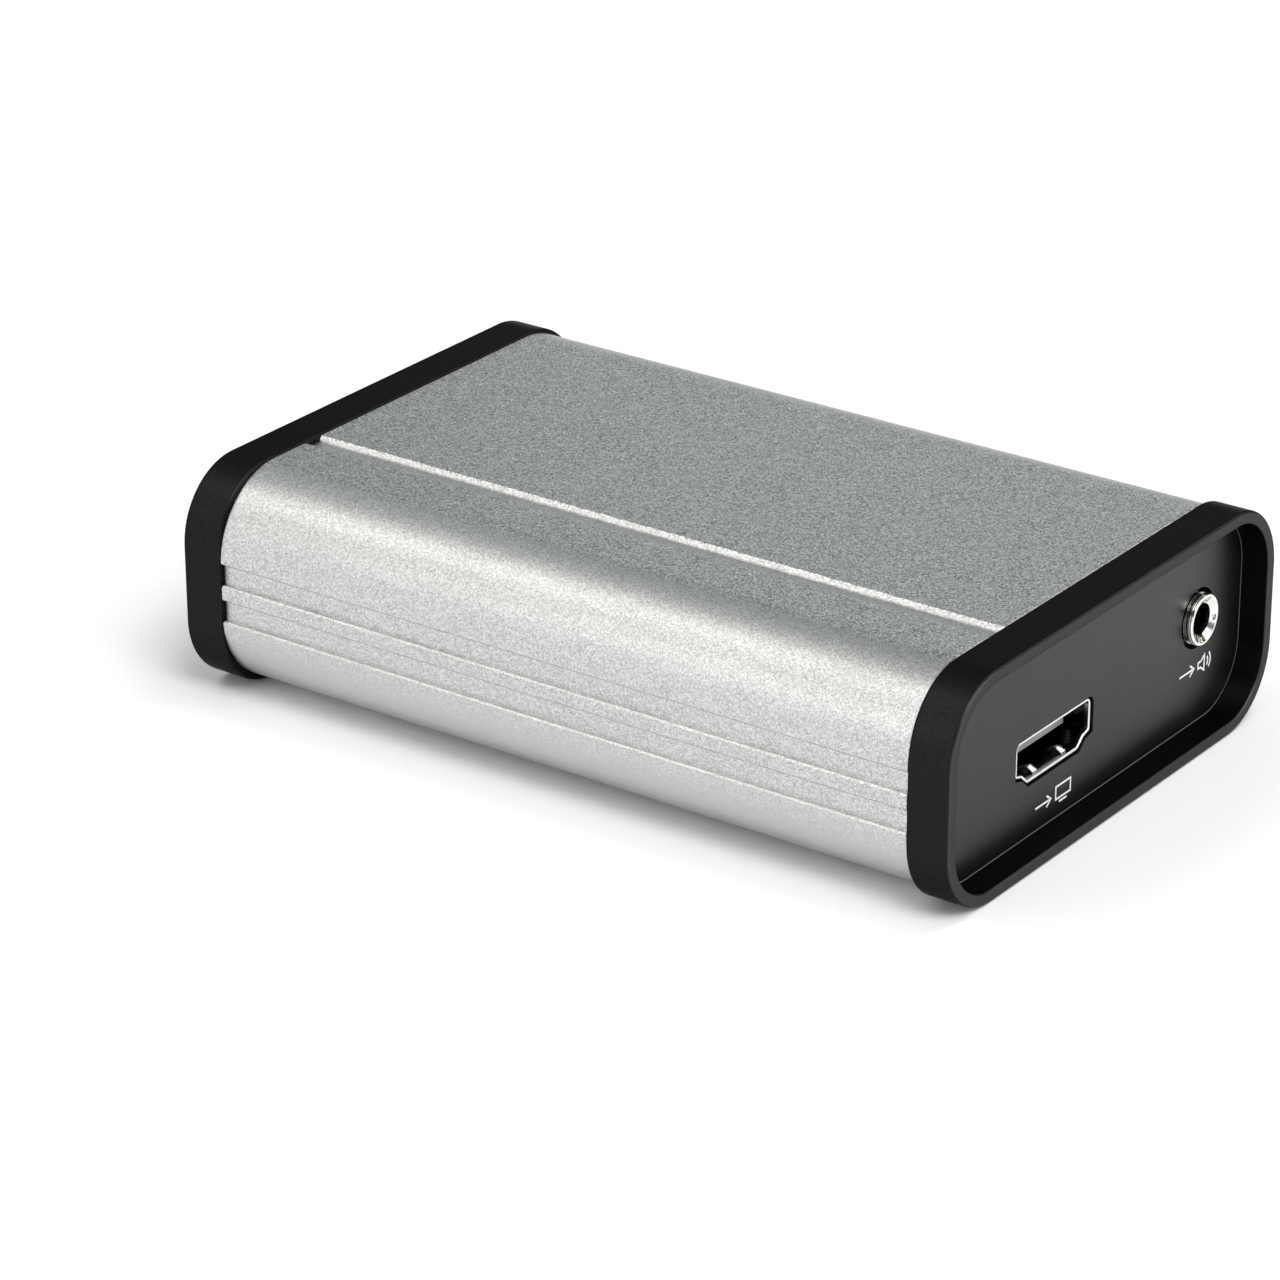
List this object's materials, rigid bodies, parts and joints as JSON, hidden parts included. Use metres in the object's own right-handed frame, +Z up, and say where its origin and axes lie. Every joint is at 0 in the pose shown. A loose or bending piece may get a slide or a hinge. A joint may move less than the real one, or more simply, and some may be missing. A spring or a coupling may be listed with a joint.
{
  "type": "video capture box",
  "caption": "Compact video capture box with a grooved silver aluminium sleeve, black end bezels, video and audio inputs in front and a data socket at the back.",
  "frame": {"origin": "Centre of the case in plan, on the table that the bezels stand on", "axes": "+X along the sleeve, towards the end with the video and audio inputs; +Y across the case, to the right when the input end is seen from the front; +Z up"},
  "size_m": [0.0988, 0.065, 0.0259],
  "materials": {
    "anodised_aluminium": "bead-blasted, clear anodised",
    "bezel_black": "fine matt moulding",
    "panel_black": "fine matt moulding",
    "circuit_board": "green solder mask",
    "socket_steel": "nickel-plated sheet",
    "insulator_black": "moulded",
    "insulator_pale": "moulded",
    "contact_gold": "gold-plated",
    "barrel_nickel": "turned and nickel-plated",
    "chip_black": "moulded",
    "pad_grey": "soft",
    "sink_black": "black anodised",
    "can_metal": "bare",
    "ferrite_grey": "matt",
    "capacitor_ceramic": "fired",
    "led_white": "moulded",
    "light_clear": "clear moulding"
  },
  "bodies": {
    "root": {"sleeve": "anodised_aluminium", "input_bezel": "bezel_black", "output_bezel": "bezel_black", "input_panel": "panel_black", "output_panel": "panel_black", "main_board": "circuit_board", "video_socket_shell": "socket_steel", "video_socket_insulator": "insulator_pale", "video_socket_contacts": "contact_gold", "video_socket_springs": "socket_steel", "audio_jack_barrel": "barrel_nickel", "audio_jack_housing": "insulator_black", "audio_jack_contacts": "contact_gold", "data_socket_shell": "socket_steel", "data_socket_insulator": "insulator_black", "data_socket_contacts": "contact_gold", "capture_processor": "chip_black", "thermal_pad": "pad_grey", "heat_sink": "sink_black", "video_receiver": "chip_black", "data_bridge": "chip_black", "memory_chips": "chip_black", "audio_converter": "chip_black", "firmware_chip": "chip_black", "clock_crystals": "can_metal", "power_inductors": "ferrite_grey", "bulk_capacitors": "can_metal", "chip_capacitors": "capacitor_ceramic", "status_led": "led_white", "light_pipe": "light_clear"}
  },
  "joints": []
}
